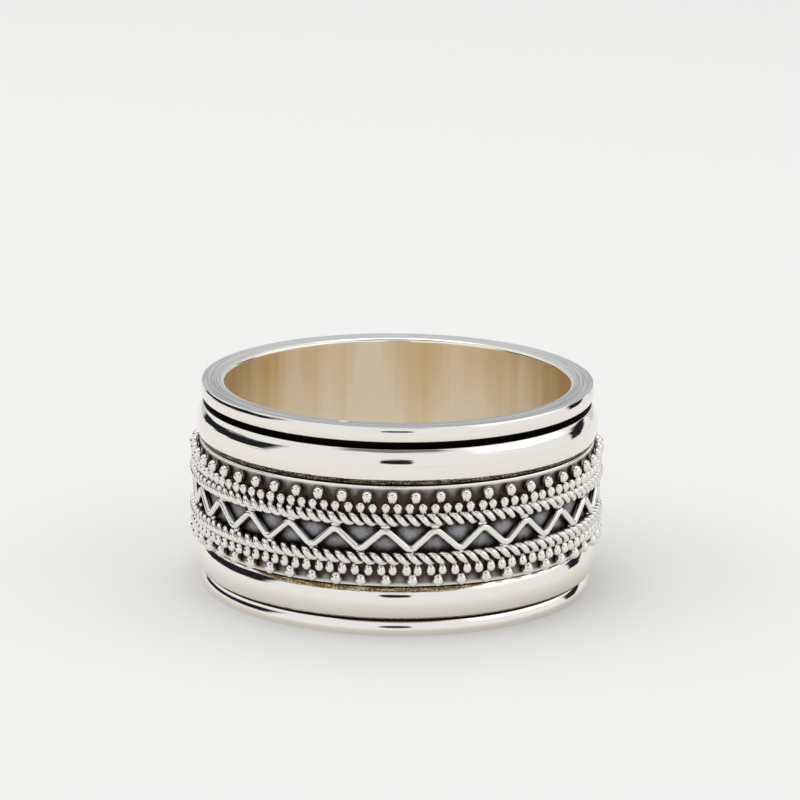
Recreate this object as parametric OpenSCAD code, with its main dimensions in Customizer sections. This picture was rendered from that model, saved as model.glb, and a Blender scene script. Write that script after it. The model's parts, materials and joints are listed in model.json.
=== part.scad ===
// Spinner ring lying on its side, finger axis upright.
// The origin is the centre of the lower face, and +Z runs along the finger axis.
// A flanged inner band traps three loose bands, which rest on its lower rim.

/* [Inner band] */
// Inside diameter, which is the finger size
bore_d = 18.2; // [15:0.1:23]
// Thickness of the tube between the rims
tube_wall = 0.56; // [0.4:0.02:0.8]
// Width of each rim, from the bore to its outer face
rim_w = 1.3; // [1:0.02:1.6]
// Height of each rim
rim_h = 0.82; // [0.6:0.02:1.4]
// How far the outer face of a rim bulges
rim_bulge = 0.12; // [0.06:0.01:0.18]
// Bevel at the two mouths of the bore
mouth_bevel = 0.12; // [0.05:0.01:0.2]

/* [Plain spinners] */
// Height of the upper plain spinner
upper_h = 1.75; // [1.2:0.01:3]
// Height of the lower plain spinner
lower_h = 1.68; // [1.2:0.01:3]
// Thickness of the plain spinners at their crown
plain_t = 0.86; // [0.6:0.02:1.2]
// Rise of their domed outer face
dome_rise = 0.25; // [0.1:0.01:0.4]
// Bevel on the edges of every band
edge_bevel = 0.07; // [0.03:0.01:0.12]

/* [Patterned spinner] */
// Height of the patterned spinner
patterned_h = 5.32; // [4.8:0.02:9]
// Thickness of its plain ground
ground_t = 0.68; // [0.4:0.02:1]
// Diameter of the two twisted ropes, each shown as a round ring
rope_d = 0.66; // [0.5:0.01:0.8]
// How deep a rope sits in its solder
rope_sink = 0.15; // [0.08:0.01:0.2]
// Plain strip between the top edge and the upper single grains
upper_margin = 0.27; // [0.1:0.01:0.5]
// Plain strip between the bottom edge and the lower single grains
lower_margin = 0.14; // [0.1:0.01:0.5]

/* [Grains] */
// Diameter of the single grains along the edges
single_d = 0.52; // [0.4:0.01:0.64]
// Diameter of the paired grains between the singles and the ropes
pair_d = 0.44; // [0.36:0.01:0.54]
// Distance from one upper single grain to the next
upper_grain_pitch = 1.26; // [1.2:0.01:1.6]
// Distance from one lower single grain to the next
lower_grain_pitch = 1.284; // [1.2:0.004:1.6]
// Gap in height between the upper single and paired grains
upper_grain_gap = 0.09; // [0:0.01:0.2]
// Gap in height between the lower single and paired grains
lower_grain_gap = 0.01; // [0:0.01:0.2]
// Gap between the upper paired grains and the upper rope
upper_rope_gap = 0.04; // [0.03:0.01:0.2]
// Gap between the lower paired grains and the lower rope
lower_rope_gap = 0.12; // [0.03:0.01:0.2]
// How deep a grain sits in its solder
grain_sink = 0.06; // [0.03:0.01:0.1]

/* [Zigzag] */
// Thickness of the zigzag wire
wire_d = 0.28; // [0.2:0.01:0.34]
// Distance from one peak of the zigzag to the next
zigzag_pitch = 2.55; // [2.2:0.01:3.4]
// Space between the upper rope and the middle of the wire at a peak
peak_gap = 0.33; // [0.22:0.01:0.4]
// Space between the lower rope and the middle of the wire at a valley
valley_gap = 0.23; // [0.22:0.01:0.4]
// Diameter of the solder bead at each bend
bead_d = 0.36; // [0.35:0.01:0.42]
// How deep the wire sits in its solder
wire_sink = 0.03; // [0.02:0.01:0.06]

/* [Fits] */
// Gap between the tube and each spinner, all round
running_gap = 0.08; // [0.04:0.01:0.1]
// Gap under each spinner as the stack rests
seat_gap = 0.05; // [0.03:0.01:0.08]
// End play of the stack, all of it above the upper spinner
end_play = 0.36; // [0.2:0.01:0.8]

/* [Hidden] */
$fn = 180;
// Facets of a grain or a wire where a mesh is drawn
small_fn = 24;
// How far a cutting outline runs past what it cuts
cut_over = 0.05;
// Turn of each row from the +X axis, in degrees
zigzag_turn = 4;
upper_grain_turn = 3.8;
lower_grain_turn = 4.5;

bore_r = bore_d / 2;
tube_r = bore_r + tube_wall;
rim_r = bore_r + rim_w;
spin_r = tube_r + running_gap;
plain_r = spin_r + plain_t;
ground_r = spin_r + ground_t;

// Heights in the stack, from the lower face up
lower_z = rim_h + seat_gap;
patterned_z = lower_z + lower_h + seat_gap;
upper_z = patterned_z + patterned_h + seat_gap;
ring_h = upper_z + upper_h + end_play + rim_h;

// Rows of the ornament, each set from the one outside it, up from the band's bottom edge
grain_step = (single_d + pair_d) / 2;
rope_step = (pair_d + rope_d) / 2;
upper_single_z = patterned_h - upper_margin - single_d / 2;
upper_pair_z = upper_single_z - grain_step - upper_grain_gap;
upper_rope_z = upper_pair_z - rope_step - upper_rope_gap;
lower_single_z = lower_margin + single_d / 2;
lower_pair_z = lower_single_z + grain_step + lower_grain_gap;
lower_rope_z = lower_pair_z + rope_step + lower_rope_gap;

// The zigzag fills the strip between the ropes
rope_r = ground_r + rope_d / 2 - rope_sink;
wire_r = ground_r + wire_d / 2 - wire_sink;
peak_z = upper_rope_z - rope_d / 2 - peak_gap;
valley_z = lower_rope_z + rope_d / 2 + valley_gap;
zigzag_count = round(2 * PI * wire_r / zigzag_pitch);

// Radius of the arc that rises by rise over a chord
function arc_r(chord, rise) = (pow(chord / 2, 2) + pow(rise, 2)) / (2 * rise);

// Centre of a grain of diameter d, from the finger axis
function grain_r(d) = ground_r + d / 2 - grain_sink;

// Point on the zigzag wire at an angle and a height
function bend(angle, z) = [wire_r * cos(angle), wire_r * sin(angle), z];

// Outline of the flanged band, whose rims are cut to their bulge later
function flanged_points(low) = [
    [bore_r, mouth_bevel],
    [bore_r + mouth_bevel, 0],
    [rim_r - rim_bulge - edge_bevel, 0],
    [rim_r + cut_over, low],
    [rim_r + cut_over, rim_h - low],
    [rim_r - rim_bulge - edge_bevel, rim_h],
    [tube_r, rim_h]
];

// The same points in turn from the upper end
function upper_points(points) =
    [for (i = [len(points) - 1 : -1 : 0]) [points[i].x, ring_h - points[i].y]];

// Section of the tube and its two rims
module flanged_section() {
    points = flanged_points(rim_bulge + edge_bevel + cut_over);
    bulge_r = arc_r(rim_h, rim_bulge);
    intersection() {
        polygon(concat(points, upper_points(points)));
        union() {
            translate([0, -cut_over])
                square([rim_r - 2 * rim_bulge, ring_h + 2 * cut_over]);
            for (z = [rim_h / 2, ring_h - rim_h / 2])
                translate([rim_r - bulge_r, z]) circle(r = bulge_r);
        }
    }
}

// Section of a plain spinner of height h, domed outside
module domed_section(h) {
    corner_x = plain_r - dome_rise - edge_bevel;
    shoulder = dome_rise + edge_bevel + cut_over;
    dome_r = arc_r(h, dome_rise);
    intersection() {
        polygon([
            [spin_r + edge_bevel, 0], [corner_x, 0],
            [plain_r + cut_over, shoulder], [plain_r + cut_over, h - shoulder],
            [corner_x, h], [spin_r + edge_bevel, h],
            [spin_r, h - edge_bevel], [spin_r, edge_bevel]
        ]);
        translate([plain_r - dome_r, h / 2]) circle(r = dome_r);
    }
}

// Section of the patterned spinner's ground, with its ropes as round rings
module roped_section() {
    polygon([
        [spin_r + edge_bevel, 0], [ground_r - edge_bevel, 0],
        [ground_r, edge_bevel], [ground_r, patterned_h - edge_bevel],
        [ground_r - edge_bevel, patterned_h], [spin_r + edge_bevel, patterned_h],
        [spin_r, patterned_h - edge_bevel], [spin_r, edge_bevel]
    ]);
    for (z = [upper_rope_z, lower_rope_z])
        translate([rope_r, z]) circle(d = rope_d, $fn = small_fn * 2);
}

// Straight wire between two bends
module leg(from, to) {
    run = to - from;
    translate(from)
        rotate([0, acos(run.z / norm(run)), atan2(run.y, run.x)])
            cylinder(h = norm(run), d = wire_d, $fn = small_fn);
}

// Zigzag wire with a solder bead at each bend
module zigzag() {
    step = 360 / zigzag_count;
    for (i = [0 : zigzag_count - 1]) {
        peak = bend(zigzag_turn + i * step, peak_z);
        valley = bend(zigzag_turn + (i + 0.5) * step, valley_z);
        next_peak = bend(zigzag_turn + (i + 1) * step, peak_z);
        leg(peak, valley);
        leg(valley, next_peak);
        translate(peak) sphere(d = bead_d, $fn = small_fn);
        translate(valley) sphere(d = bead_d, $fn = small_fn);
    }
}

// One grain of diameter d at an angle and a height, with a pole facing out
module grain(d, angle, z) {
    rotate([0, 0, angle])
        translate([grain_r(d), 0, z])
            rotate([0, 90, 0]) sphere(d = d, $fn = small_fn);
}

// A row of single grains with two smaller grains beside each one
module grain_rows(pitch, turn, single_z, pair_z) {
    count = round(2 * PI * grain_r(single_d) / pitch);
    step = 360 / count;
    for (i = [0 : count - 1]) {
        grain(single_d, turn + i * step, single_z);
        for (side = [-1, 1])
            grain(pair_d, turn + (i + side / 4) * step, pair_z);
    }
}

// The tube with a rim at each end, one piece of metal
module inner_band() {
    color("silver") rotate_extrude() flanged_section();
}

// Plain domed band on the lower rim
module lower_spinner() {
    color("silver") translate([0, 0, lower_z]) rotate_extrude() domed_section(lower_h);
}

// Wide band with ropes, zigzag and grains soldered on
module patterned_spinner() {
    color("dimgray")
        translate([0, 0, patterned_z]) {
            rotate_extrude() roped_section();
            zigzag();
            grain_rows(upper_grain_pitch, upper_grain_turn, upper_single_z, upper_pair_z);
            grain_rows(lower_grain_pitch, lower_grain_turn, lower_single_z, lower_pair_z);
        }
}

// Plain domed band below the upper rim
module upper_spinner() {
    color("silver") translate([0, 0, upper_z]) rotate_extrude() domed_section(upper_h);
}

inner_band();
lower_spinner();
patterned_spinner();
upper_spinner();
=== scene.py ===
# Spinner ring lying on its side: three loose bands trapped by a flanged inner band.
# Every band is turned, rounded and finished here, at the size and place of its solid.
import json
import random
from math import asin, atan2, cos, hypot, pi, radians, sin

import bmesh
import bpy
from mathutils import Matrix, Vector, kdtree


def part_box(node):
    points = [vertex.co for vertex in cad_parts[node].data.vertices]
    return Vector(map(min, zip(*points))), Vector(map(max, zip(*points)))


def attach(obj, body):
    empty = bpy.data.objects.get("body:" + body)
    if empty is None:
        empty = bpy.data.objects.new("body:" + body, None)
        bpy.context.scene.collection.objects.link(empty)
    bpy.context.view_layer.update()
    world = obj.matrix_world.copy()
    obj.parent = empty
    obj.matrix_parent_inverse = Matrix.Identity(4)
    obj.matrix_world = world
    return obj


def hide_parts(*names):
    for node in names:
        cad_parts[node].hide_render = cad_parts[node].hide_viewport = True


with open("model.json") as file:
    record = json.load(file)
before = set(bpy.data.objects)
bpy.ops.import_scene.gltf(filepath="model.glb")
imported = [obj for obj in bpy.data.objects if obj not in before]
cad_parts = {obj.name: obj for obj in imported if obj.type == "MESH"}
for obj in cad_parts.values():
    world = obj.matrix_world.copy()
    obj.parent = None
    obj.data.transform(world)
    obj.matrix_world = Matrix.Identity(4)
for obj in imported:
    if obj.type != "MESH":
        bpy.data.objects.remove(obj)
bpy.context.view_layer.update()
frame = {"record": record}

MM = 0.001
# Points that are closer together than this are one point
SMALLEST = 0.001 * MM
random.seed(8)

# A face counts as flat where its normal stands this upright, and as facing down past this slope, where a
# plain band is painted black as shade
FLAT = 0.99
FACING_DOWN = -0.7
# A wall's own faces have their middles this close to it
SKIN = 0.02 * MM

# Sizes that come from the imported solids
BORE_R = frame["record"]["mounts"][0]["dims"]["r_mm"] * MM
RIM_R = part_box("inner_band")[1].x
RING_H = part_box("inner_band")[1].z
PLAIN_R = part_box("upper_spinner")[1].x
LOWER_Z = [corner.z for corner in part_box("lower_spinner")]
PATTERNED_Z = [corner.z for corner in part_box("patterned_spinner")]
UPPER_Z = [corner.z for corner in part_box("upper_spinner")]

# Bands
TUBE_WALL = 0.56 * MM
RIM_H = 0.82 * MM
UPPER_RIM_H = 0.75 * MM
UPPER_BAND_RISE = 0.05 * MM
RIM_ROUND = 0.03 * MM
MOUTH_ROUND = 0.2 * MM
RUNNING_GAP = 0.08 * MM
EDGE_ROUND = 0.07 * MM
GROUND_T = 0.68 * MM
GROUND_ROUND = 0.1 * MM

# Each domed side: how far its crown lies below its middle, and how far it falls back at its farther end
UPPER_RIM_DOME = (0, 0.1 * MM)
LOWER_RIM_DOME = (0.19 * MM, 0.26 * MM)
UPPER_BAND_DOME = (0.13 * MM, 0.34 * MM)
LOWER_BAND_DOME = (0, 0.25 * MM)

TUBE_R = BORE_R + TUBE_WALL
SPIN_R = TUBE_R + RUNNING_GAP
GROUND_R = SPIN_R + GROUND_T

# Ropes and zigzag, with heights up from the lower edge of the patterned band
ROPE_D = 0.74 * MM
ROPE_SINK = 0.21 * MM
UPPER_ROPE_Z = PATTERNED_Z[0] + 3.59 * MM
LOWER_ROPE_Z = PATTERNED_Z[0] + 1.56 * MM
UPPER_TURNS = 58
LOWER_TURNS = 55
WIRE_D = 0.41 * MM
WIRE_SINK = 0.03 * MM
ZIGZAGS = 26
PEAK_Z = PATTERNED_Z[0] + 2.99 * MM
VALLEY_Z = PATTERNED_Z[0] + 2.08 * MM
BEND_R = 0.36 * MM
ZIGZAG_TURN = radians(4)
# A wire that lies at a slant in the twist shows wider than it is, by this share
STRAND_WIDENING = 1.3

# Grains, and the solder at their feet and at the bends of the zigzag
SINGLE_D = 0.62 * MM
PAIR_D = 0.52 * MM
GRAIN_SINK = 0.08 * MM
UPPER_SINGLE_Z = PATTERNED_Z[0] + 4.79 * MM
UPPER_PAIR_Z = PATTERNED_Z[0] + 4.22 * MM
LOWER_SINGLE_Z = PATTERNED_Z[0] + 0.40 * MM
LOWER_PAIR_Z = PATTERNED_Z[0] + 0.89 * MM
UPPER_GRAINS = 53
LOWER_GRAINS = 52
UPPER_GRAIN_TURN = radians(3.8)
LOWER_GRAIN_TURN = radians(4.5)
SINGLE_TAIL = 0.06 * MM
PAIR_TAIL = 0.18 * MM
TAIL_WIDTH = 0.8
SOLDER_SIZE = (0.27 * MM, 0.6 * MM, 0.5 * MM)
PEAK_SOLDER_Z = PEAK_Z + 0.22 * MM
VALLEY_SOLDER_Z = VALLEY_Z - 0.22 * MM
JITTER_TURN = radians(0.25)
JITTER_HEIGHT = 0.02 * MM
JITTER_SIZE = 0.05

# Steps of a full turn, a dome and a rounded edge, the net of the patterned ground, and the sides and
# steps of the wires and grains
TURN_STEPS = 360
ARC_STEPS = 20
CORNER_STEPS = 5
GROUND_STEPS = 520
GROUND_ROWS = 36
STRAND_SIDES = 10
STRAND_STEPS = 6
WIRE_SIDES = 10
BEND_STEPS = 6
LEG_STEPS = 3
GRAIN_SIDES = 10
GRAIN_RINGS = 6

# Real size of each mark in a finish, and where it lies
# Brown stripes beside the plain bands' edges: partly tarnished metal, partly painted shade from the dark
# slits beside them
UPPER_TARNISH_AND_SHADE = 0.18 * MM
# The upper stripe is thinner on the right, by this share
THINNER_RIGHT = 0.4
# It thins out between these two places to the right of the middle, in millimetres
THINNING = (2, 9)
LOWER_TARNISH_AND_SHADE = 0.13 * MM
# Where the lower band has no brown stripe, the stripe ends this far outside its edge
STRIPE_ENDS_OUTSIDE = 0.14 * MM
STRIPE_STRETCHES = 3
STRETCH_TURN = radians(8.5)
# The share of the full depth that the brown stripe covers on the way round: its middle, and its swing to
# either side
STRETCH_MIDDLE = 0.65
STRETCH_SWING = 1.2
WAVE = 2.4 * MM
WAVE_DEPTH = 0.006 * MM
POLISH_LINE = 0.22 * MM
POLISH_LINE_LENGTH = 5 * MM
POLISH_LINE_DEPTH = 0.004 * MM
# How much deeper the lines left by the lathe are on the upper rim and on the upper band, by these shares
RIM_LINES = 1.6
BAND_LINES = 1.6
# Real hairlines and grit lines are about 0.01 mm wide, and are drawn coarser so that they show
HAIRLINE = 0.03 * MM
HAIRLINE_LENGTH = 3 * MM
HAIRLINE_DEPTH = 0.0006 * MM
TARNISH_AND_SHADE_DASH = 0.7 * MM
TARNISH_AND_SHADE_LINE = 0.055 * MM
# How far the brown stripe runs in and out, and how wide its soft border is, in millimetres
TARNISH_AND_SHADE_RAGGED = 0.1
TARNISH_AND_SHADE_BORDER = 0.02
# How much rougher the brown stripe is than the polished metal
TARNISH_AND_SHADE_DULL = 0.35
SPECK = 0.08 * MM
# The ground above and below the ropes is rubbed less than between them, by these shares
ABOVE_ROPES = 0.68
BELOW_ROPES = 0.85
SOFTENING_ROUNDS = 4
GRIT = 0.05 * MM
GRIT_STROKE = 4 * MM
GRIT_DEPTH = 0.002 * MM
BRUSH_BAND = 2.5 * MM
# Slides the pattern of upright bands, which sets where the light and dark ones fall
BRUSH_SHIFT = 43
BRUSH_STREAK = 0.9 * MM
BRUSH_LENGTH = 30 * MM
BRUSH_DEPTH = 0.004 * MM
# The broad bands count this much more than the fine streaks
BRUSH_BAND_SHARE = 2.0
BORE_WAVE_DEPTH = 0.024 * MM
# Upright strips of the bore painted lighter or darker, partly wear and partly painted light and shade:
# turn in degrees, half width in millimetres, strength
WORN_AND_LIT_STRIPS = (
    (98.5, 1.2, 0.42),
    (122, 2.6, 0.22),
    (86.3, 2.0, -0.24),
    (51, 2.6, 0.2),
    (14, 3, -0.5),
    (166, 3, -0.4),
)
# The bore is painted lighter deeper inside, as painted light, by this share a millimetre
LIGHTER_INSIDE = 0.12
PATCH = 0.35 * MM
# How far the rubbed patches of the ground shift their borders, in millimetres
PATCH_SHIFT = 0.12
# Painted light: the flat end is painted paler at the back than at the front, by this share, as a painted
# reflection of the bright tent, and it turns paler between these two places on the way back, in millimetres
PALER_BACK = 0.75
PALING = (-0.1 * RIM_R / MM, RIM_R / MM)
# Small dent beside the mouth of the bore, with a painted highlight in its colour
NICK_AND_GLINT_PLACE = (-2.7 * MM, -9.0 * MM, RING_H)
NICK_AND_GLINT_R = 0.3 * MM
NICK_DEPTH = 0.03 * MM
# Pits of the oxidised ground, and dents of the wires and grains
PIT = 0.12 * MM
PIT_DEPTH = 0.006 * MM
DENT = 0.25 * MM
DENT_DEPTH = 0.006 * MM

# How far a polishing cloth gets into the ornament: not at all at the first distance and all the way
# at the second, in millimetres
FROM_ROPE_MIDDLE = (0.17, 0.26)
FROM_ROPE_HEIGHT = (0.34, 0.26)
ROPE_ABOVE_GROUND = (0.1, 0.2)
WIRE_ABOVE_GROUND = (0.02, 0.1)
GRAIN_ABOVE_GROUND = (0.04, 0.12)
SOLDER_ABOVE_GROUND = (0.03, 0.1)
FROM_TOP_EDGE = (0.25, 0.12)
FROM_BOTTOM_EDGE = (0.15, 0.08)

# Roughness of each finish at the low and at the high end of its pattern
POLISHED_ROUGHNESS = (0.03, 0.1)
SATIN_ROUGHNESS = (0.45, 0.25)
BORE_ROUGHNESS = (0.42, 0.3)
OXIDISED_ROUGHNESS = (0.45, 0.15)
UNRUBBED_ROUGHNESS = (0.6, 0.4)
RUBBED_ROUGHNESS = (0.4, 0.08)

# Between which two values of its pattern each finish goes from its first tone or gloss to its second
HAIRLINE_TONES = (0.3, 0.7)
TARNISH_AND_SHADE_TONES = (0.98, 1.18)
SATIN_TONES = (0.36, 0.64)
BORE_TONES = (1.05, 1.95)
FOOT_TONES = (0.7, 1.1)
# The ground is black-brown up to the first distance from the ornament and gray past the second, in
# millimetres. The gray covers the first share of the brown in a deep pit and the second between pits.
OPEN_GROUND = (0.17, 0.35)
WORN_THROUGH = (0.4, 0.75)
DEEPEST_PIT = 0.2

# Studio
FLOOR_SIZE = 3.0
CAMERA_D = 204.74 * MM
CAMERA_RISE = radians(14.013)
CAMERA_DIP = radians(14.324)
CAMERA_YAW = radians(-0.04)
CAMERA_ROLL = radians(0.609)
CAMERA_LENS = 174.82
MOUTH_Z = 10.87 * MM
LENS_R = 40 * MM
LENS_FLATNESS = 0.8
LENS_BLUR = 0.08
NEAREST_VIEW = 10 * MM
CARD_D = 250 * MM
WALL_D = 300 * MM
CARD_STEPS = 24
BLACK = (0.015, 0.015, 0.02)
GRAY = (0.2, 0.2, 0.22)
PALE_GRAY = (0.66, 0.66, 0.67)
WHITE = (0.88, 0.9, 0.93)
BRIGHT = (1.3, 1.3, 1.3)
TENT_COLOUR = (0.99, 0.995, 1, 1)
TENT_STRENGTH = 0.65

# Cards that only the polished metal sees: colour, blurred share of the borders, distance, and the low
# left, low right, high left and high right corners as azimuth and elevation in degrees
CARDS = {
    "dark_card_left": (BLACK, 0.12, CARD_D, (-150, 0), (-74, 4), (-150, 6), (-62, 32)),
    "dark_card_right": (BLACK, 0.15, CARD_D, (113, -1), (124, -1), (111, 16), (152, 22)),
    "gray_card_back": (PALE_GRAY, 0.1, CARD_D, (140, -4), (220, -4), (140, 44), (220, 44)),
    "gray_card_front": (GRAY, 0.15, CARD_D, (-48, 44), (44, 44), (-40, 66), (36, 66)),
    "bright_card_right": (BRIGHT, 0.16, CARD_D, (42, 24), (118, 15), (42, 58), (120, 36)),
    "white_wall": (WHITE, 0.01, WALL_D, (-180, 0), (180, 0), (-180, 60), (180, 60)),
}

# Soft lights: azimuth and elevation in degrees, distance, width and height in metres, power in watts,
# and whether the polished metal shows them
SOFTBOXES = {
    "right_softbox": (70, 36, 0.4, 0.65, 0.23, 0.2, False),
    "left_softbox": (-80, 36, 0.4, 0.65, 0.23, 0.18, False),
    "top_softbox": (180, 76, 0.6, 0.5, 0.5, 0.9, True),
    "high_softbox": (-60, 62, 0.6, 0.5, 0.5, 0.6, False),
}

# Sockets of a colour mix
FACTOR, FIRST, SECOND, MIXED = 0, 6, 7, 2


# Modelling by hand

def start(name, add_primitive, **settings):
    """Adds one primitive with nothing else selected, and opens it for editing."""
    bpy.ops.object.select_all(action="DESELECT")
    add_primitive(**settings)
    piece = bpy.context.object
    piece.name = piece.data.name = name
    bpy.ops.object.transform_apply(location=True, rotation=True, scale=True)
    bpy.ops.object.mode_set(mode="EDIT")
    return piece


def pick(kind, test):
    """Selects only the verts, edges or faces whose middle passes the test."""
    mesh = bmesh.from_edit_mesh(bpy.context.object.data)
    for part in (*mesh.faces, *mesh.edges, *mesh.verts):
        part.select_set(False)
    for part in getattr(mesh, kind):
        corners = [part] if kind == "verts" else part.verts
        if test(sum((corner.co for corner in corners), Vector()) / len(corners)):
            part.select_set(True)
    mesh.select_flush_mode()
    bmesh.update_edit_mesh(bpy.context.object.data)


def near(a, b):
    return abs(a - b) < SMALLEST


def apply(piece, kind, **settings):
    """Adds a modifier with these settings and applies it."""
    modifier = piece.modifiers.new(kind, kind)
    for setting, value in settings.items():
        setattr(modifier, setting, value)
    bpy.ops.object.modifier_apply(modifier=modifier.name)


def close_up():
    """Merges doubled points and turns every face outwards."""
    bpy.ops.mesh.select_all(action="SELECT")
    bpy.ops.mesh.remove_doubles(threshold=SMALLEST)
    bpy.ops.mesh.normals_make_consistent(inside=False)


def leave_smooth(piece, even=False):
    """Leaves edit mode with smooth faces. Even shading follows the larger faces, for turned bands."""
    bpy.ops.object.mode_set(mode="OBJECT")
    bpy.ops.object.shade_smooth()
    if even:
        apply(piece, "WEIGHTED_NORMAL", keep_sharp=True)
    return piece


def join(name, parts):
    """Makes one mesh of several, with its place in the mesh."""
    bpy.ops.object.select_all(action="DESELECT")
    for part in parts:
        part.select_set(True)
    bpy.context.view_layer.objects.active = parts[0]
    bpy.ops.object.join()
    bpy.ops.object.transform_apply(location=True, rotation=True, scale=True)
    parts[0].name = parts[0].data.name = name
    return parts[0]


# Turned bands

def outline(name, inner_r, outer_r, low, high):
    """Upright rectangle beside the finger axis, open for shaping."""
    middle = ((inner_r + outer_r) / 2, 0, (low + high) / 2)
    width, height = outer_r - inner_r, high - low
    piece = start(
        name, bpy.ops.mesh.primitive_plane_add, size=width, location=middle, rotation=(pi / 2, 0, 0),
    )
    bpy.ops.transform.resize(value=(1, 1, height / width), center_override=middle)
    return piece


def dome(crown_r, low, high, crown_drop, fall, edge):
    """Arc of a domed side: the radius and height of its centre, then the lean to its lower and upper
    rounded edges and the radii of their centres."""
    crown_z = (low + high) / 2 - crown_drop
    sides = (crown_z - low, high - crown_z)
    arc_r = (max(sides) ** 2 + fall ** 2) / (2 * fall)
    leans = [asin((side - edge) / (arc_r - edge)) for side in sides]
    centre_r = crown_r - arc_r
    return (centre_r, crown_z), leans, [centre_r + (arc_r - edge) * cos(lean) for lean in leans]


def draw_domed_side(crown_r, low, high, crown_drop, fall, edge):
    """Swaps the straight side of an unfilled outline for a rounded edge, a dome and a rounded edge."""
    (centre_r, crown_z), leans, shoulders = dome(crown_r, low, high, crown_drop, fall, edge)
    pick("edges", lambda c: near(c.x, shoulders[0]) and low < c.z < high)
    bpy.ops.mesh.delete(type="EDGE")
    pick("verts", lambda c: near(c.x, shoulders[0]) and near(c.z, high))
    bpy.ops.transform.translate(value=(shoulders[1] - shoulders[0], 0, 0))
    pick("verts", lambda c: near(c.x, shoulders[0]) and near(c.z, low))
    arcs = (
        (CORNER_STEPS, pi / 2 - leans[0], shoulders[0], low + edge),
        (ARC_STEPS, sum(leans), centre_r, crown_z),
        (CORNER_STEPS, pi / 2 - leans[1], shoulders[1], high - edge),
    )
    for steps, angle, radius, height in arcs:
        bpy.ops.mesh.spin(steps=steps, angle=angle, center=(radius, 0, height), axis=(0, 1, 0))
    bpy.ops.mesh.select_all(action="SELECT")
    bpy.ops.mesh.remove_doubles(threshold=SMALLEST)


def round_corners(size, test):
    """Rounds the corners of a filled outline that pass the test."""
    pick("verts", test)
    bpy.ops.mesh.bevel(offset=size, segments=CORNER_STEPS, affect="VERTICES")


def turn_on_lathe(piece, steps=TURN_STEPS):
    """Turns an outline once round the finger axis."""
    bpy.ops.mesh.select_all(action="SELECT")
    bpy.ops.mesh.delete(type="ONLY_FACE")
    bpy.ops.object.mode_set(mode="OBJECT")
    apply(piece, "SCREW", axis="Z", angle=2 * pi, steps=steps, render_steps=steps)
    bpy.ops.object.mode_set(mode="EDIT")
    close_up()
    return leave_smooth(piece, even=True)


def turn_plain_band(name, low, high, crown_drop, fall):
    """Domed band with softly rounded edges."""
    shoulders = dome(PLAIN_R, low, high, crown_drop, fall, EDGE_ROUND)[2]
    piece = outline(name, SPIN_R, shoulders[0], low, high)
    round_corners(EDGE_ROUND, lambda c: near(c.x, SPIN_R))
    bpy.ops.mesh.select_all(action="SELECT")
    bpy.ops.mesh.delete(type="ONLY_FACE")
    draw_domed_side(PLAIN_R, low, high, crown_drop, fall, EDGE_ROUND)
    return turn_on_lathe(piece)


def turn_flanged_band():
    """Tube with a bulged rim at each end, from one outline."""
    rims = ((0, RIM_H, *LOWER_RIM_DOME), (RING_H - UPPER_RIM_H, RING_H, *UPPER_RIM_DOME))
    piece = outline("flanged_band", BORE_R, TUBE_R, 0, RING_H)
    for height in (RIM_H, RING_H - UPPER_RIM_H):
        bpy.ops.mesh.select_all(action="SELECT")
        bpy.ops.mesh.bisect(plane_co=(0, 0, height), plane_no=(0, 0, 1))
    for low, high, crown_drop, fall in rims:
        shoulders = dome(RIM_R, low, high, crown_drop, fall, RIM_ROUND)[2]
        pick("edges", lambda c: near(c.x, TUBE_R) and low < c.z < high)
        bpy.ops.mesh.extrude_region_move(TRANSFORM_OT_translate={"value": (shoulders[0] - TUBE_R, 0, 0)})
    bpy.ops.mesh.select_all(action="SELECT")
    bpy.ops.mesh.dissolve_faces()
    round_corners(MOUTH_ROUND, lambda c: near(c.x, BORE_R))
    bpy.ops.mesh.select_all(action="SELECT")
    bpy.ops.mesh.delete(type="ONLY_FACE")
    for low, high, crown_drop, fall in rims:
        draw_domed_side(RIM_R, low, high, crown_drop, fall, RIM_ROUND)
    return turn_on_lathe(piece)


def turn_ground():
    """Band that carries the ornament, with a fine net of faces on its outer side."""
    low, high = PATTERNED_Z
    piece = outline("patterned_ground", SPIN_R, GROUND_R, low, high)
    round_corners(EDGE_ROUND, lambda c: near(c.x, SPIN_R))
    round_corners(GROUND_ROUND, lambda c: near(c.x, GROUND_R))
    pick("edges", lambda c: near(c.x, GROUND_R))
    bpy.ops.mesh.subdivide(number_cuts=GROUND_ROWS)
    return turn_on_lathe(piece, GROUND_STEPS)


# Wires

def bend_into_ring(piece, pitch, count, ring_r, turn, height):
    """Repeats a stretch of wire along X and bends the strip into a closed ring."""
    apply(
        piece, "ARRAY", use_relative_offset=False, use_constant_offset=True,
        constant_offset_displace=(pitch, 0, 0), count=count, use_merge_vertices=True,
        merge_threshold=SMALLEST,
    )
    apply(piece, "SIMPLE_DEFORM", deform_method="BEND", angle=2 * pi, deform_axis="Z")
    bpy.ops.object.mode_set(mode="EDIT")
    bpy.ops.mesh.select_all(action="SELECT")
    bpy.ops.transform.translate(value=(0, -ring_r, height))
    bpy.ops.transform.rotate(value=-turn, orient_axis="Z", center_override=(0, 0, 0))
    close_up()
    return leave_smooth(piece)


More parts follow.
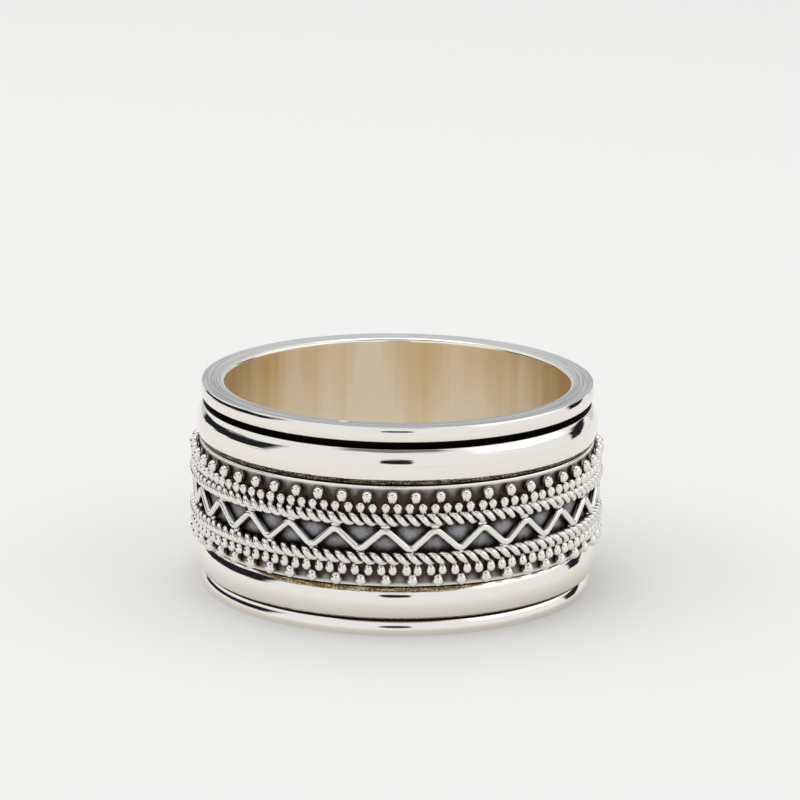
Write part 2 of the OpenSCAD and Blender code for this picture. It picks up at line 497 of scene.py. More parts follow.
def twist_rope(name, turns, height):
    """Two wires twisted together: one half twist is repeated and bent into a ring."""
    rope_r = GROUND_R + ROPE_D / 2 - ROPE_SINK
    strand_r = ROPE_D / 4
    half_twist = pi * rope_r / turns
    piece = start(
        name, bpy.ops.mesh.primitive_circle_add, vertices=STRAND_SIDES, radius=strand_r,
        location=(0, 0, strand_r), rotation=(0, pi / 2, 0),
    )
    bpy.ops.transform.resize(value=(1, STRAND_WIDENING, 1), center_override=(0, 0, strand_r))
    bpy.ops.object.mode_set(mode="OBJECT")
    apply(
        piece, "SCREW", axis="X", angle=pi, screw_offset=half_twist, steps=STRAND_STEPS,
        render_steps=STRAND_STEPS, use_smooth_shade=True,
    )
    bpy.ops.object.mode_set(mode="EDIT")
    bpy.ops.mesh.select_all(action="SELECT")
    bpy.ops.mesh.duplicate()
    bpy.ops.transform.rotate(value=pi, orient_axis="X", center_override=(0, 0, 0))
    bpy.ops.object.mode_set(mode="OBJECT")
    bend_into_ring(piece, half_twist, 2 * turns, rope_r, 0, height)
    mark(piece, "rubbed", lambda p: rope_rub(p, rope_r, height))
    return piece


def rope_rub(p, rope_r, height):
    """How far a rope is rubbed bright at a place: on its strands, and not in the creases or at its foot."""
    outward, upward = hypot(p.x, p.y) - rope_r, p.z - height
    on_strand = reach(hypot(outward, upward), *FROM_ROPE_MIDDLE)
    off_foot = reach(abs(upward), *FROM_ROPE_HEIGHT) * above_ground(p, ROPE_ABOVE_GROUND)
    return on_strand * off_foot


def extrude_wire(step):
    bpy.ops.mesh.extrude_region_move(TRANSFORM_OT_translate={"value": step})


def bend_zigzag():
    """Round wire with soft bends: one zigzag is repeated and bent into a ring."""
    wire_r = GROUND_R + WIRE_D / 2 - WIRE_SINK
    pitch = 2 * pi * wire_r / ZIGZAGS
    rise = PEAK_Z - VALLEY_Z
    bends_apart = hypot(pitch / 2, rise - 2 * BEND_R)
    slope = atan2(rise - 2 * BEND_R, pitch / 2) + asin(2 * BEND_R / bends_apart)
    leg = (pitch / 2 - 2 * BEND_R * sin(slope)) / cos(slope)
    peak_centre = (0, 0, rise / 2 - BEND_R)
    valley_centre = (pitch / 2, 0, BEND_R - rise / 2)
    next_centre = (pitch, 0, rise / 2 - BEND_R)
    piece = start(
        "zigzag_wire", bpy.ops.mesh.primitive_circle_add, vertices=WIRE_SIDES, radius=WIRE_D / 2,
        location=(0, 0, rise / 2), rotation=(0, pi / 2, 0),
    )
    for centre, side, fall in ((peak_centre, 1, -1), (valley_centre, -1, 1)):
        bpy.ops.mesh.spin(steps=BEND_STEPS, angle=slope, center=centre, axis=(0, -side, 0))
        for _ in range(LEG_STEPS):
            extrude_wire((leg / LEG_STEPS * cos(slope), 0, fall * leg / LEG_STEPS * sin(slope)))
        after = valley_centre if side == 1 else next_centre
        bpy.ops.mesh.spin(steps=BEND_STEPS, angle=slope, center=after, axis=(0, side, 0))
    bpy.ops.object.mode_set(mode="OBJECT")
    turn = ZIGZAG_TURN + pi / 2
    bend_into_ring(piece, pitch, ZIGZAGS, wire_r, turn, (PEAK_Z + VALLEY_Z) / 2)
    mark(piece, "rubbed", lambda p: above_ground(p, WIRE_ABOVE_GROUND))
    return piece


# Grains and solder

def melt_grain(name, size, tail):
    """Ball of silver at +X, drawn out on one side into a tail of solder."""
    centre_r = GROUND_R + size / 2 - GRAIN_SINK
    side = 1 if tail > 0 else -1
    piece = start(
        name, bpy.ops.mesh.primitive_uv_sphere_add, segments=GRAIN_SIDES, ring_count=GRAIN_RINGS,
        radius=size / 2, location=(centre_r, 0, 0), rotation=(0, pi / 2, 0),
    )
    pick("verts", lambda c: c.z * side > size / 4 and c.x < centre_r + size / 4)
    bpy.ops.transform.resize(value=(1, TAIL_WIDTH, 1), center_override=(centre_r, 0, 0))
    bpy.ops.transform.translate(value=(-abs(tail) / 4, 0, tail))
    close_up()
    return leave_smooth(piece)


def melt_solder():
    """Low pool of solder at +X that bridges a bend of the wire and the rope beside it."""
    piece = start(
        "solder", bpy.ops.mesh.primitive_uv_sphere_add, segments=GRAIN_SIDES, ring_count=GRAIN_RINGS,
        radius=1 / 2, location=(0, 0, 0), rotation=(0, pi / 2, 0),
    )
    proud, width, height = SOLDER_SIZE
    bpy.ops.transform.resize(value=(2 * proud, width, height), center_override=(0, 0, 0))
    bpy.ops.transform.translate(value=(GROUND_R, 0, 0))
    return leave_smooth(piece)


def lay_row(grain, count, turn, height):
    """Copies a grain round the band, each one a little off its place and size."""
    copies = []
    for i in range(count):
        copy = grain.copy()
        copy.data = grain.data.copy()
        angle = turn + 2 * pi * i / count + random.uniform(-JITTER_TURN, JITTER_TURN)
        lift = height + random.uniform(-JITTER_HEIGHT, JITTER_HEIGHT)
        grown = 1 + random.uniform(-JITTER_SIZE, JITTER_SIZE)
        to_foot = Matrix.Translation((GROUND_R, 0, 0))
        in_place = to_foot @ Matrix.Scale(grown, 4) @ to_foot.inverted()
        copy.matrix_world = Matrix.Translation((0, 0, lift)) @ Matrix.Rotation(angle, 4, "Z") @ in_place
        bpy.context.collection.objects.link(copy)
        copies.append(copy)
    bpy.data.objects.remove(grain)
    return copies


def lay_grains(name, size, tail, count, turn, height):
    """One row of grains, as one mesh."""
    piece = join(name, lay_row(melt_grain(name, size, tail), count, turn, height))
    mark(piece, "rubbed", lambda p: above_ground(p, GRAIN_ABOVE_GROUND))
    return piece


def lay_solder():
    """Solder between the ropes and the bends of the zigzag, as one mesh."""
    step = pi / ZIGZAGS
    pools = lay_row(melt_solder(), ZIGZAGS, ZIGZAG_TURN, PEAK_SOLDER_Z)
    pools += lay_row(melt_solder(), ZIGZAGS, ZIGZAG_TURN + step, VALLEY_SOLDER_Z)
    piece = join("solder", pools)
    mark(piece, "rubbed", lambda p: above_ground(p, SOLDER_ABOVE_GROUND))
    return piece


# Measures that the finishes read at every point

def reach(distance, none, full):
    """How far a polishing cloth gets, from 0 to 1, between two distances in millimetres."""
    return min(max((distance / MM - none) / (full - none), 0), 1)


def above_ground(p, limits):
    """How far a polishing cloth gets at a place, by its distance out from the patterned ground."""
    return reach(hypot(p.x, p.y) - GROUND_R, *limits)


def mark(piece, name, measure):
    """Stores a measure of every point for its finish to read."""
    layer = piece.data.attributes.new(name, "FLOAT", "POINT")
    layer.data.foreach_set("value", [measure(point.co) for point in piece.data.vertices])


def upper_tarnish_and_shade(p):
    """How far the upper band's brown stripe, partly tarnished metal and partly painted shade, reaches up at
    a place.
    """
    return UPPER_TARNISH_AND_SHADE * (1 - THINNER_RIGHT * reach(p.x, *THINNING))


def lower_tarnish_and_shade(p):
    """How far the lower band's brown stripe, partly tarnished metal and partly painted shade, reaches down
    at a place: it comes and goes round the band.
    """
    turn = atan2(p.x, -p.y) + STRETCH_TURN
    wave = STRETCH_MIDDLE + STRETCH_SWING * cos(STRIPE_STRETCHES * turn)
    return min(max(wave, 0), 1) * (LOWER_TARNISH_AND_SHADE + STRIPE_ENDS_OUTSIDE) - STRIPE_ENDS_OUTSIDE


def paler(p):
    """How much paler the flat end is painted at a place, as painted light."""
    return PALER_BACK * reach(p.y, *PALING)


def bore_wear_and_light(p):
    """How much lighter the bore is painted at a place: partly wear, and partly painted light and shade."""
    wear = LIGHTER_INSIDE * (RING_H - p.z) / MM
    for turn, width, strength in WORN_AND_LIT_STRIPS:
        off = abs(atan2(p.y, p.x) - radians(turn)) * BORE_R
        wear += strength * reach(off, width, width / 2)
    return wear


def soften(piece, name):
    """Evens out a stored measure between neighbouring points."""
    layer = piece.data.attributes[name]
    values = [point.value for point in layer.data]
    for _ in range(SOFTENING_ROUNDS):
        sums, counts = list(values), [1] * len(values)
        for edge in piece.data.edges:
            a, b = edge.vertices
            sums[a] += values[b]
            sums[b] += values[a]
            counts[a] += 1
            counts[b] += 1
        values = [total / count for total, count in zip(sums, counts)]
    layer.data.foreach_set("value", values)


def openness(p):
    """How much the distance from the ornament counts at a height: less above and below the ropes."""
    if p.z > UPPER_ROPE_Z:
        return ABOVE_ROPES
    return BELOW_ROPES if p.z < LOWER_ROPE_Z else 1


def mark_ground(ground, ornament):
    """Where the ground is polished along its edges, and how far it lies from the nearest wire or grain."""
    points = [point.co for piece in ornament for point in piece.data.vertices]
    tree = kdtree.KDTree(len(points))
    for i, point in enumerate(points):
        tree.insert(point, i)
    tree.balance()
    low, high = PATTERNED_Z
    mark(ground, "clearance", lambda p: tree.find(p)[2] / MM * openness(p))
    soften(ground, "clearance")
    mark(ground, "between_ropes", lambda p: 1 if LOWER_ROPE_Z < p.z < UPPER_ROPE_Z else 0)
    mark(ground, "rubbed", lambda p: max(
        reach(high - p.z, *FROM_TOP_EDGE), reach(p.z - low, *FROM_BOTTOM_EDGE)))


# Materials

def linear(code):
    """An sRGB hex colour as the linear colour that a shader takes."""
    parts = [int(code[i:i + 2], 16) / 255 for i in (1, 3, 5)]
    return (*((p / 12.92 if p <= 0.04045 else ((p + 0.055) / 1.055) ** 2.4) for p in parts), 1)


def add(tree, kind, inputs=(), **fields):
    """Adds one shader node with its fields, and fills or links its inputs."""
    made = tree.nodes.new("ShaderNode" + kind)
    for field, value in fields.items():
        setattr(made, field, value)
    for socket, value in dict(inputs).items():
        if isinstance(value, bpy.types.NodeSocket):
            tree.links.new(value, made.inputs[socket])
        else:
            made.inputs[socket].default_value = value
    return made


def new_material(name, **shader_values):
    """A material with its shader set, with its node tree, its shader, and the place on the piece that
    its patterns start from."""
    material = bpy.data.materials.new(name)
    material.use_nodes = True
    tree = material.node_tree
    shader = tree.nodes["Principled BSDF"]
    for socket, value in shader_values.items():
        shader.inputs[socket.replace("_", " ")].default_value = value
    return material, tree, shader, add(tree, "TexCoord").outputs["Object"]


def polished_silver():
    """Polished sterling silver: a warm mirror with soft waves from filing by hand, lathe lines and
    hairlines that run round the band, and a broken brown stripe beside its edges, partly tarnished metal and
    partly painted shade."""
    material, tree, shader, place = new_material("polished sterling silver", Metallic=1.0)
    waves = add(tree, "TexNoise", {"Vector": place, "Scale": 1 / WAVE, "Detail": 2.0})
    strokes = add(tree, "Mapping", {
        "Vector": place, "Scale": (1 / POLISH_LINE_LENGTH, 1 / POLISH_LINE_LENGTH, 1 / POLISH_LINE)})
    lines = add(tree, "TexNoise", {"Vector": strokes.outputs["Vector"], "Scale": 1.0, "Detail": 2.0})
    along = add(tree, "Mapping", {
        "Vector": place, "Scale": (1 / HAIRLINE_LENGTH, 1 / HAIRLINE_LENGTH, 1 / HAIRLINE)})
    hairlines = add(tree, "TexNoise", {"Vector": along.outputs["Vector"], "Scale": 1.0, "Detail": 3.0})
    round_band = add(tree, "Mapping", {
        "Vector": place, "Scale": (1 / TARNISH_AND_SHADE_DASH, 1 / TARNISH_AND_SHADE_DASH, 1 / TARNISH_AND_SHADE_LINE)})
    dashes = add(tree, "TexNoise", {"Vector": round_band.outputs["Vector"], "Scale": 1.0, "Detail": 4.0})
    specks = add(tree, "TexNoise", {"Vector": place, "Scale": 1 / SPECK, "Detail": 2.0})
    rough = add(tree, "Math", {0: dashes.outputs["Fac"], 1: specks.outputs["Fac"]}, operation="ADD")
    edge = add(tree, "Attribute", attribute_name="from_edge")
    ragged = add(tree, "Math", {
        0: rough.outputs["Value"], 1: -TARNISH_AND_SHADE_RAGGED, 2: edge.outputs["Fac"]}, operation="MULTIPLY_ADD")
    # Painted shade: the brown stripe beside the band's edge stands partly for tarnished metal and partly for
    # the reflection of the dark slit
    tarnish_and_shade = add(tree, "MapRange", {
        "Value": ragged.outputs["Value"], "From Min": -TARNISH_AND_SHADE_BORDER, "From Max": 0.0,
        "To Min": 1.0, "To Max": 0.0})
    pale = add(tree, "MapRange", {
        "Value": rough.outputs["Value"], "From Min": TARNISH_AND_SHADE_TONES[0], "From Max": TARNISH_AND_SHADE_TONES[1]})
    browns = add(tree, "Mix", {
        FACTOR: pale.outputs["Result"], FIRST: linear("#26221D"), SECOND: linear("#A4957F"),
    }, data_type="RGBA")
    tans = add(tree, "Mix", {
        FACTOR: pale.outputs["Result"], FIRST: linear("#6B5636"), SECOND: linear("#D6C39E"),
    }, data_type="RGBA")
    thin = add(tree, "Attribute", attribute_name="thin_tarnish_and_shade")
    stain_and_shade = add(tree, "Mix", {
        FACTOR: thin.outputs["Fac"], FIRST: browns.outputs[MIXED], SECOND: tans.outputs[MIXED],
    }, data_type="RGBA")
    colour = add(tree, "Mix", {
        FACTOR: tarnish_and_shade.outputs["Result"], FIRST: linear("#F3EEE5"), SECOND: stain_and_shade.outputs[MIXED],
    }, data_type="RGBA")
    gloss = add(tree, "MapRange", {
        "Value": hairlines.outputs["Fac"], "From Min": HAIRLINE_TONES[0], "From Max": HAIRLINE_TONES[1],
        "To Min": POLISHED_ROUGHNESS[0], "To Max": POLISHED_ROUGHNESS[1]})
    dull = add(tree, "Math", {
        0: tarnish_and_shade.outputs["Result"], 1: TARNISH_AND_SHADE_DULL, 2: gloss.outputs["Result"],
    }, operation="MULTIPLY_ADD")
    uneven = add(tree, "Bump", {"Height": waves.outputs["Fac"], "Distance": WAVE_DEPTH})
    turned = add(tree, "Attribute", attribute_name="turned_lines")
    deeper = add(tree, "Math", {0: turned.outputs["Fac"], 1: 1.0}, operation="ADD")
    line_height = add(tree, "Math", {
        0: lines.outputs["Fac"], 1: deeper.outputs["Value"]}, operation="MULTIPLY")
    stroked = add(tree, "Bump", {
        "Height": line_height.outputs["Value"], "Distance": POLISH_LINE_DEPTH,
        "Normal": uneven.outputs["Normal"]})
    worn = add(tree, "Bump", {
        "Height": hairlines.outputs["Fac"], "Distance": HAIRLINE_DEPTH, "Normal": stroked.outputs["Normal"]})
    tree.links.new(colour.outputs[MIXED], shader.inputs["Base Color"])
    tree.links.new(dull.outputs["Value"], shader.inputs["Roughness"])
    tree.links.new(worn.outputs["Normal"], shader.inputs["Normal"])
    return material


def satin_silver():
    """Satin sterling silver: flat ends rubbed down in circles, gray with a fine round grain, painted paler
    at the back as painted light, and one small dent with a painted highlight."""
    material, tree, shader, place = new_material("satin sterling silver", Metallic=1.0)
    flat = add(tree, "VectorMath", {0: place, 1: (1.0, 1.0, 0.0)}, operation="MULTIPLY")
    radius = add(tree, "VectorMath", {0: flat.outputs["Vector"]}, operation="LENGTH")
    ring = add(tree, "Math", {0: radius.outputs["Value"], 1: 1 / GRIT}, operation="MULTIPLY")
    across = add(tree, "CombineXYZ", {"X": ring.outputs["Value"]})
    stroke = add(tree, "VectorMath", {
        0: place, 1: (1 / GRIT_STROKE,) * 3, 2: across.outputs["Vector"]}, operation="MULTIPLY_ADD")
    grain = add(tree, "TexNoise", {"Vector": stroke.outputs["Vector"], "Scale": 1.0, "Detail": 4.0})
    shade = add(tree, "MapRange", {
        "Value": grain.outputs["Fac"], "From Min": SATIN_TONES[0], "From Max": SATIN_TONES[1]})
    # Painted light: the flat end is painted paler towards the back
    painted_pale = add(tree, "Attribute", attribute_name="paler")
    lit = add(tree, "Math", {0: shade.outputs["Result"], 1: painted_pale.outputs["Fac"]}, operation="ADD")
    gray = add(tree, "Mix", {
        FACTOR: lit.outputs["Value"], FIRST: linear("#A0A0A6"), SECOND: linear("#E0E0DE"),
    }, data_type="RGBA")
    off_nick_and_glint = add(tree, "VectorMath", {0: place, 1: NICK_AND_GLINT_PLACE}, operation="DISTANCE")
    nick_and_glint = add(tree, "MapRange", {
        "Value": off_nick_and_glint.outputs["Value"], "From Min": NICK_AND_GLINT_R / 2, "From Max": NICK_AND_GLINT_R,
        "To Min": 1.0, "To Max": 0.0})
    # Painted highlight: the dent is painted white
    colour = add(tree, "Mix", {
        FACTOR: nick_and_glint.outputs["Result"], FIRST: gray.outputs[MIXED], SECOND: linear("#FFFFFF"),
    }, data_type="RGBA")
    gloss = add(tree, "MapRange", {
        "Value": grain.outputs["Fac"], "To Min": SATIN_ROUGHNESS[0], "To Max": SATIN_ROUGHNESS[1]})
    dented = add(tree, "Bump", {"Height": nick_and_glint.outputs["Result"], "Distance": -NICK_DEPTH})
    rubbed = add(tree, "Bump", {
        "Height": grain.outputs["Fac"], "Distance": GRIT_DEPTH, "Normal": dented.outputs["Normal"]})
    tree.links.new(colour.outputs[MIXED], shader.inputs["Base Color"])
    tree.links.new(gloss.outputs["Result"], shader.inputs["Roughness"])
    tree.links.new(rubbed.outputs["Normal"], shader.inputs["Normal"])
    return material


def bore_silver():
    """Worn satin silver inside the finger hole, in soft upright bands: the warm tint of its own reflections
    is painted into its colour, and strips of it are painted lighter and darker as light and shade.
    """
    material, tree, shader, place = new_material("worn satin silver with painted light and shade", Metallic=1.0)
    upright = add(tree, "Mapping", {
        "Vector": place, "Location": (BRUSH_SHIFT, 0, 0),
        "Scale": (1 / BRUSH_BAND, 1 / BRUSH_BAND, 1 / BRUSH_LENGTH)})
    bands = add(tree, "TexNoise", {"Vector": upright.outputs["Vector"], "Scale": 1.0, "Detail": 1.0})
    fine = add(tree, "Mapping", {
        "Vector": place, "Scale": (1 / BRUSH_STREAK, 1 / BRUSH_STREAK, 1 / BRUSH_LENGTH)})
    streaks = add(tree, "TexNoise", {"Vector": fine.outputs["Vector"], "Scale": 1.0, "Detail": 2.0})
    both = add(tree, "Math", {
        0: bands.outputs["Fac"], 1: BRUSH_BAND_SHARE, 2: streaks.outputs["Fac"],
    }, operation="MULTIPLY_ADD")
    strip = add(tree, "Attribute", attribute_name="worn_and_lit_strip")
    # Painted light and shade: the strips add lighter and darker upright strips to the tone
    worn = add(tree, "Math", {0: both.outputs["Value"], 1: strip.outputs["Fac"]}, operation="ADD")
    tone = add(tree, "MapRange", {
        "Value": worn.outputs["Value"], "From Min": BORE_TONES[0], "From Max": BORE_TONES[1]})
    # Painted reflection: warm colours that stand in for the tint of the bore's own reflections
    colour = add(tree, "Mix", {
        FACTOR: tone.outputs["Result"], FIRST: linear("#E9CC9B"), SECOND: linear("#FFF7E8"),
    }, data_type="RGBA")
    gloss = add(tree, "MapRange", {
        "Value": bands.outputs["Fac"], "To Min": BORE_ROUGHNESS[0], "To Max": BORE_ROUGHNESS[1]})
    uneven = add(tree, "Bump", {"Height": bands.outputs["Fac"], "Distance": BORE_WAVE_DEPTH})
    brushed = add(tree, "Bump", {
        "Height": streaks.outputs["Fac"], "Distance": BRUSH_DEPTH, "Normal": uneven.outputs["Normal"]})
    tree.links.new(colour.outputs[MIXED], shader.inputs["Base Color"])
    tree.links.new(gloss.outputs["Result"], shader.inputs["Roughness"])
    tree.links.new(brushed.outputs["Normal"], shader.inputs["Normal"])
    return material


def oxidised_silver():
    """Oxidised sterling silver: black-brown round the wires, rubbed to a blue gray in the open, with
    a polished line along the edges of the band."""
    material, tree, shader, place = new_material("oxidised sterling silver", Metallic=1.0)
    clearance = add(tree, "Attribute", attribute_name="clearance")
    rubbed = add(tree, "Attribute", attribute_name="rubbed")
    pits = add(tree, "TexNoise", {"Vector": place, "Scale": 1 / PIT, "Detail": 3.0})
    patches = add(tree, "TexNoise", {"Vector": place, "Scale": 1 / PATCH, "Detail": 2.0})
    shifted = add(tree, "Math", {
        0: patches.outputs["Fac"], 1: PATCH_SHIFT, 2: clearance.outputs["Fac"]}, operation="MULTIPLY_ADD")
    open_part = add(tree, "MapRange", {
        "Value": shifted.outputs["Value"], "From Min": OPEN_GROUND[0], "From Max": OPEN_GROUND[1],
    }, interpolation_type="SMOOTHSTEP")
    worn_off = add(tree, "MapRange", {
        "Value": pits.outputs["Fac"], "From Min": DEEPEST_PIT,
        "To Min": WORN_THROUGH[0], "To Max": WORN_THROUGH[1]})
    patchy = add(tree, "Math", {
        0: open_part.outputs["Result"], 1: worn_off.outputs["Result"]}, operation="MULTIPLY")
    between = add(tree, "Attribute", attribute_name="between_ropes")
    browns = add(tree, "Mix", {
        FACTOR: between.outputs["Fac"], FIRST: linear("#4A3D32"), SECOND: linear("#211913"),
    }, data_type="RGBA")
    dark = add(tree, "Mix", {
        FACTOR: patchy.outputs["Value"], FIRST: browns.outputs[MIXED], SECOND: linear("#C4C4CA"),
    }, data_type="RGBA")
    colour = add(tree, "Mix", {
        FACTOR: rubbed.outputs["Fac"], FIRST: dark.outputs[MIXED], SECOND: linear("#F2EFE8"),
    }, data_type="RGBA")
    gloss = add(tree, "MapRange", {
        "Value": rubbed.outputs["Fac"], "To Min": OXIDISED_ROUGHNESS[0], "To Max": OXIDISED_ROUGHNESS[1]})
    etched = add(tree, "Bump", {"Height": pits.outputs["Fac"], "Distance": PIT_DEPTH})
    tree.links.new(colour.outputs[MIXED], shader.inputs["Base Color"])
    tree.links.new(gloss.outputs["Result"], shader.inputs["Roughness"])
    tree.links.new(etched.outputs["Normal"], shader.inputs["Normal"])
    return material


def unrubbed_and_shade_silver():
    """Oxidised sterling silver that no cloth reaches: black and finely pitted, in the slits and on the
    running walls, and also painted shade on the faces of the plain bands that face down."""
    material, tree, shader, place = new_material("unrubbed oxidised silver", Metallic=1.0)
    pits = add(tree, "TexNoise", {"Vector": place, "Scale": 1 / PIT, "Detail": 3.0})
    colour = add(tree, "Mix", {
        FACTOR: pits.outputs["Fac"], FIRST: linear("#100D0B"), SECOND: linear("#2C231C"),
    }, data_type="RGBA")
    gloss = add(tree, "MapRange", {
        "Value": pits.outputs["Fac"], "To Min": UNRUBBED_ROUGHNESS[0], "To Max": UNRUBBED_ROUGHNESS[1]})
    etched = add(tree, "Bump", {"Height": pits.outputs["Fac"], "Distance": PIT_DEPTH})
    tree.links.new(colour.outputs[MIXED], shader.inputs["Base Color"])
    tree.links.new(gloss.outputs["Result"], shader.inputs["Roughness"])
    tree.links.new(etched.outputs["Normal"], shader.inputs["Normal"])
    return material


def rubbed_silver():
    """Oxidised sterling silver rubbed back: bright on top of the wires and grains, brown at their feet."""
    material, tree, shader, place = new_material("rubbed oxidised silver", Metallic=1.0)
    rubbed = add(tree, "Attribute", attribute_name="rubbed")
    dents = add(tree, "TexNoise", {"Vector": place, "Scale": 1 / DENT, "Detail": 3.0})
    uneven_line = add(tree, "Math", {
        0: rubbed.outputs["Fac"], 1: dents.outputs["Fac"]}, operation="ADD")
    bright = add(tree, "MapRange", {
        "Value": uneven_line.outputs["Value"], "From Min": FOOT_TONES[0], "From Max": FOOT_TONES[1],
    }, interpolation_type="SMOOTHSTEP")
    colour = add(tree, "Mix", {
        FACTOR: bright.outputs["Result"], FIRST: linear("#665749"), SECOND: linear("#ECE9E3"),
    }, data_type="RGBA")
    gloss = add(tree, "MapRange", {
        "Value": bright.outputs["Result"], "To Min": RUBBED_ROUGHNESS[0], "To Max": RUBBED_ROUGHNESS[1]})
    beaten = add(tree, "Bump", {"Height": dents.outputs["Fac"], "Distance": DENT_DEPTH})
    tree.links.new(colour.outputs[MIXED], shader.inputs["Base Color"])
    tree.links.new(gloss.outputs["Result"], shader.inputs["Roughness"])
    tree.links.new(beaten.outputs["Normal"], shader.inputs["Normal"])
    return material


def white_card():
    """Matt white card: a pale floor with no shine."""
    return new_material(
        "matt white card", Base_Color=linear("#ECECEA"), Roughness=0.8, Specular_IOR_Level=0.0)[0]


# Studio

def place_camera():
    """Long lens a little above the ring, at the photographed angle."""
    place = Vector((0, -CAMERA_D * cos(CAMERA_RISE), MOUTH_Z + CAMERA_D * sin(CAMERA_RISE)))
    bpy.ops.object.camera_add()
    camera = bpy.context.object
    turn = Matrix.Rotation(CAMERA_YAW, 4, "Z") @ Matrix.Rotation(pi / 2 - CAMERA_DIP, 4, "X")
    camera.matrix_world = Matrix.Translation(place) @ turn @ Matrix.Rotation(CAMERA_ROLL, 4, "Z")
    camera.data.lens = CAMERA_LENS
    camera.data.clip_start = NEAREST_VIEW
    bpy.context.scene.camera = camera


def lay_floor():
    bpy.ops.mesh.primitive_plane_add(size=FLOOR_SIZE)
    floor = bpy.context.object
    floor.name = "floor"
    floor.data.materials.append(white_card())


def aim(azimuth, elevation):
    """Direction seen from the ring, with the azimuth from the camera's side and to its right, in degrees."""
    a, e = radians(azimuth), radians(elevation)
    return Vector((sin(a) * cos(e), -cos(a) * cos(e), sin(e)))


def stand_card(name, colour, blur, distance, *corners):
    """Curved card that only the polished metal sees, between four directions, with blurred borders."""
    bpy.ops.mesh.primitive_grid_add(x_subdivisions=CARD_STEPS, y_subdivisions=1, size=1)
    card = bpy.context.object
    card.name = name
    low_left, low_right, high_left, high_right = (Vector(corner) for corner in corners)
    for vertex in card.data.vertices:
        across, up = vertex.co.x + 0.5, vertex.co.y + 0.5
        low, high = low_left.lerp(low_right, across), high_left.lerp(high_right, across)
        vertex.co = aim(*low.lerp(high, up)) * distance
    paint_card(card, colour, blur)


def paint_card(card, colour, blur):
    """Even glow that fades out over a share of the card along its borders."""
    material = bpy.data.materials.new(card.name)
    material.use_nodes = True
    tree = material.node_tree
    tree.nodes.clear()
    spot = add(tree, "SeparateXYZ", {0: add(tree, "TexCoord").outputs["UV"]})
    faded = []
    for axis in ("X", "Y"):
        inward = add(tree, "Math", {0: spot.outputs[axis], 1: 0.5}, operation="PINGPONG")
        faded.append(add(tree, "MapRange", {
            "Value": inward.outputs["Value"], "From Max": blur}, interpolation_type="SMOOTHSTEP"))
    cover = add(tree, "Math", {
        0: faded[0].outputs["Result"], 1: faded[1].outputs["Result"]}, operation="MULTIPLY")
    glow = add(tree, "Emission", {"Color": (*colour, 1)})
    clear = add(tree, "BsdfTransparent")
    both = add(tree, "MixShader", {
        0: cover.outputs["Value"], 1: clear.outputs["BSDF"], 2: glow.outputs["Emission"]})
    add(tree, "OutputMaterial", {"Surface": both.outputs["Shader"]})
    card.data.materials.append(material)
    card.visible_camera = card.visible_diffuse = card.visible_shadow = False


def stand_lens():
    """Dark front of the camera, as the ring sees it."""
    direction = bpy.context.scene.camera.location.normalized()
    bpy.ops.mesh.primitive_circle_add(
        radius=LENS_R, fill_type="NGON", location=direction * (CAMERA_D + LENS_R),
        rotation=(pi / 2 - CAMERA_RISE, 0, 0),
    )
    lens = bpy.context.object
    lens.name = "lens_front"
    lens.scale.y = LENS_FLATNESS
    paint_card(lens, BLACK, LENS_BLUR)


def hang_light(name, azimuth, elevation, distance, width, height, power, seen):
    """Soft light aimed at the ring."""
    direction = aim(azimuth, elevation)
    bpy.ops.object.light_add(
        type="AREA", location=direction * distance, rotation=direction.to_track_quat("Z", "Y").to_euler())
    light = bpy.context.object
    light.name = name
    light.data.shape = "RECTANGLE"
    light.data.size, light.data.size_y = width, height
    light.data.energy = power
    light.visible_glossy = seen


def light_studio():
    """White tent of soft light, with the dark lens and the cards that the mirror finish needs to show
    its shape."""
    world = bpy.data.worlds.new("studio")
    world.use_nodes = True
    world.node_tree.nodes["Background"].inputs["Color"].default_value = TENT_COLOUR
    world.node_tree.nodes["Background"].inputs["Strength"].default_value = TENT_STRENGTH
    bpy.context.scene.world = world
    bpy.context.scene.view_settings.view_transform = "Standard"
    stand_lens()
    for name, card in CARDS.items():
        stand_card(name, *card)
    for name, softbox in SOFTBOXES.items():
        hang_light(name, *softbox)


# Building

place_camera()
lay_floor()
light_studio()

flanged = turn_flanged_band()
lower = turn_plain_band("lower_plain_band", *LOWER_Z, *LOWER_BAND_DOME)
upper = turn_plain_band("upper_plain_band", UPPER_Z[0], UPPER_Z[1] + UPPER_BAND_RISE, *UPPER_BAND_DOME)
ground = turn_ground()
upper_pair_turn = UPPER_GRAIN_TURN + pi / 2 / UPPER_GRAINS
lower_pair_turn = LOWER_GRAIN_TURN + pi / 2 / LOWER_GRAINS
ornament = [
    twist_rope("upper_rope", UPPER_TURNS, UPPER_ROPE_Z),
    twist_rope("lower_rope", LOWER_TURNS, LOWER_ROPE_Z),
    bend_zigzag(),
    lay_solder(),
    lay_grains("upper_singles", SINGLE_D, -SINGLE_TAIL, UPPER_GRAINS, UPPER_GRAIN_TURN, UPPER_SINGLE_Z),
    lay_grains("upper_pairs", PAIR_D, -PAIR_TAIL, 2 * UPPER_GRAINS, upper_pair_turn, UPPER_PAIR_Z),
    lay_grains("lower_singles", SINGLE_D, SINGLE_TAIL, LOWER_GRAINS, LOWER_GRAIN_TURN, LOWER_SINGLE_Z),
    lay_grains("lower_pairs", PAIR_D, PAIR_TAIL, 2 * LOWER_GRAINS, lower_pair_turn, LOWER_PAIR_Z),
]
# Brown stripes beside the plain bands' edges, partly tarnished metal and partly painted shade
mark(lower, "from_edge", lambda p: min(LOWER_Z[1] - p.z - lower_tarnish_and_shade(p), p.z - LOWER_Z[0]) / MM)
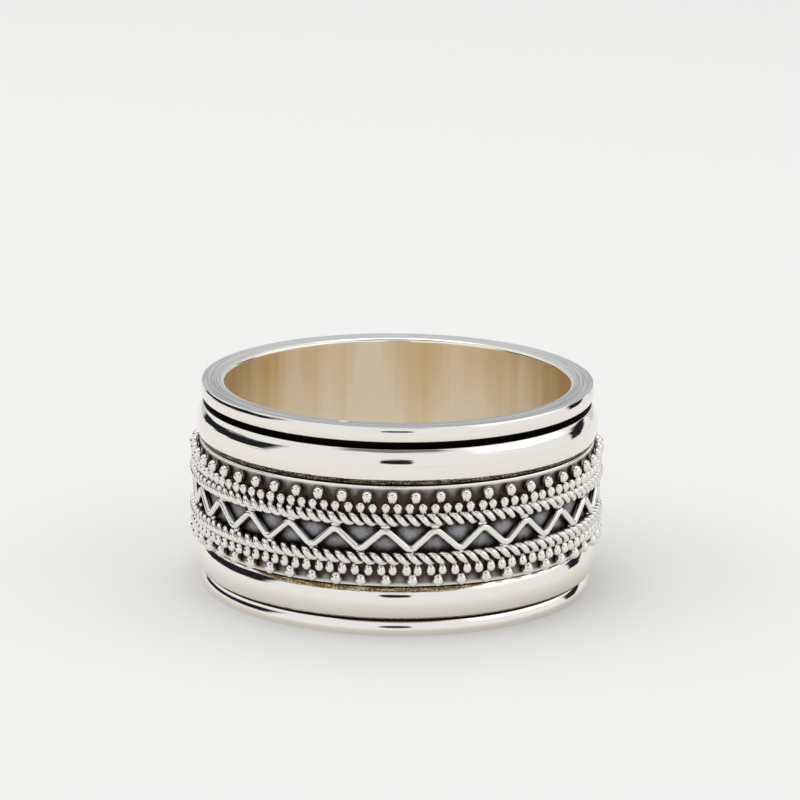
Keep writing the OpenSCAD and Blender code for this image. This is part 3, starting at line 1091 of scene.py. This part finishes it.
mark(upper, "from_edge", lambda p: (p.z - UPPER_Z[0] - upper_tarnish_and_shade(p)) / MM)
mark(lower, "thin_tarnish_and_shade", lambda p: 1)
mark(upper, "turned_lines", lambda p: BAND_LINES)
mark(lower, "turned_lines", lambda p: BAND_LINES / 2)
mark(flanged, "from_edge", lambda p: 1)
mark(flanged, "turned_lines", lambda p: RIM_LINES if p.z > RING_H / 2 else 0)
mark(flanged, "worn_and_lit_strip", bore_wear_and_light)
mark(flanged, "paler", paler)
mark_ground(ground, ornament)

polished = polished_silver()
satin = satin_silver()
worn_and_lit_bore = bore_silver()
unrubbed_and_shade = unrubbed_and_shade_silver()
oxidised = oxidised_silver()
rubbed = rubbed_silver()


def flanged_finish(centre, normal):
    """Finish of a face of the flanged band: polished outside and on the mouth's edge, satin on the ends,
    worn satin with painted light and shade in the bore, and black oxide that no cloth reaches in the slits."""
    radius = hypot(centre.x, centre.y)
    if radius < BORE_R + MOUTH_ROUND and MOUTH_ROUND < centre.z < RING_H - MOUTH_ROUND:
        return worn_and_lit_bore
    flat = abs(normal.z) > FLAT
    between_rims = RIM_H - SMALLEST < centre.z < RING_H - UPPER_RIM_H + SMALLEST
    if between_rims and (flat or radius < TUBE_R + SKIN):
        return unrubbed_and_shade
    return satin if flat else polished


def plain_finish(centre, normal):
    """Finish of a face of a plain band: black oxide in the slits and on the running wall, black as painted
    shade on the faces that face down, and polished outside.
    """
    inside = hypot(centre.x, centre.y) < SPIN_R + EDGE_ROUND
    return unrubbed_and_shade if inside or abs(normal.z) > FLAT or normal.z < FACING_DOWN else polished


def finish(piece, body, materials, choose=None):
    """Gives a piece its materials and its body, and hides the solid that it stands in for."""
    piece.data.materials.clear()
    for material in materials:
        piece.data.materials.append(material)
    if choose:
        for face in piece.data.polygons:
            face.material_index = materials.index(choose(face.center, face.normal))
    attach(piece, body)
    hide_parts(body)


finish(flanged, "inner_band", [polished, satin, worn_and_lit_bore, unrubbed_and_shade], flanged_finish)
finish(lower, "lower_spinner", [polished, unrubbed_and_shade], plain_finish)
finish(upper, "upper_spinner", [polished, unrubbed_and_shade], plain_finish)
finish(ground, "patterned_spinner", [oxidised])
for piece in ornament:
    finish(piece, "patterned_spinner", [rubbed])
